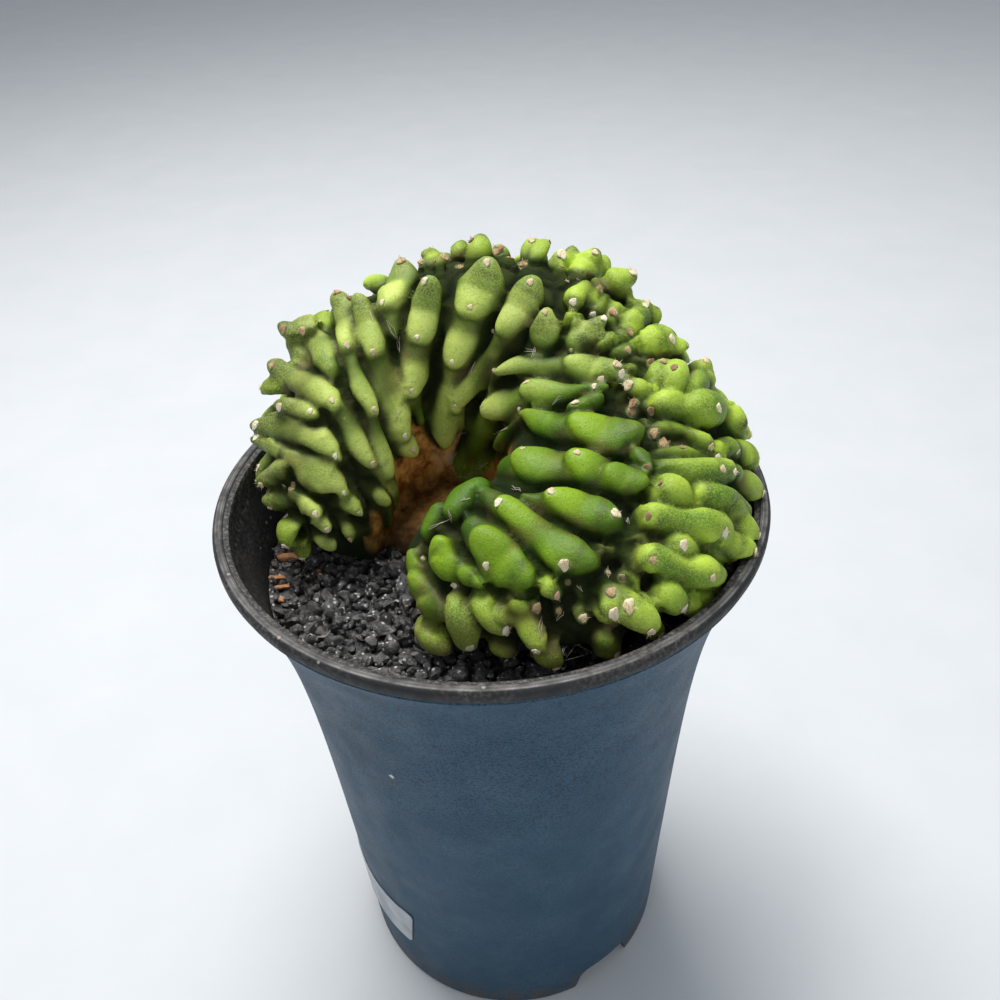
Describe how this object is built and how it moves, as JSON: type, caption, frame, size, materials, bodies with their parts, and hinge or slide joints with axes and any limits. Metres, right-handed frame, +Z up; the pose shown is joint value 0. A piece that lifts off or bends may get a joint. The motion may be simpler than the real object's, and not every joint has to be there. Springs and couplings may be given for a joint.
{
  "type": "potted crested gymnocalycium",
  "caption": "Crested gymnocalycium cactus, its knuckled ribs fanned round a hollow, standing in black gravel in a tall flared plastic pot with drainage notches in its foot.",
  "frame": {"origin": "centre of the pot's standing ring, on the surface that it stands on", "axes": "+Z up along the pot's axis, -Y towards the viewer of the picture, +X to the viewer's right"},
  "size_m": [0.11, 0.11, 0.1726],
  "materials": {
    "pot_plastic": "slate blue moulded plastic with a fine black speckle, black inside and on the lip",
    "gravel": "black volcanic gravel, slightly glossy, with a few tan chips",
    "cactus_skin": "fresh green velvety skin with cream areoles, corky brown in the hollow",
    "sticker": "plain silver grey sticker"
  },
  "bodies": {
    "root": {"pot": "pot_plastic", "soil": "gravel", "cactus": "cactus_skin", "label": "sticker"}
  },
  "joints": []
}
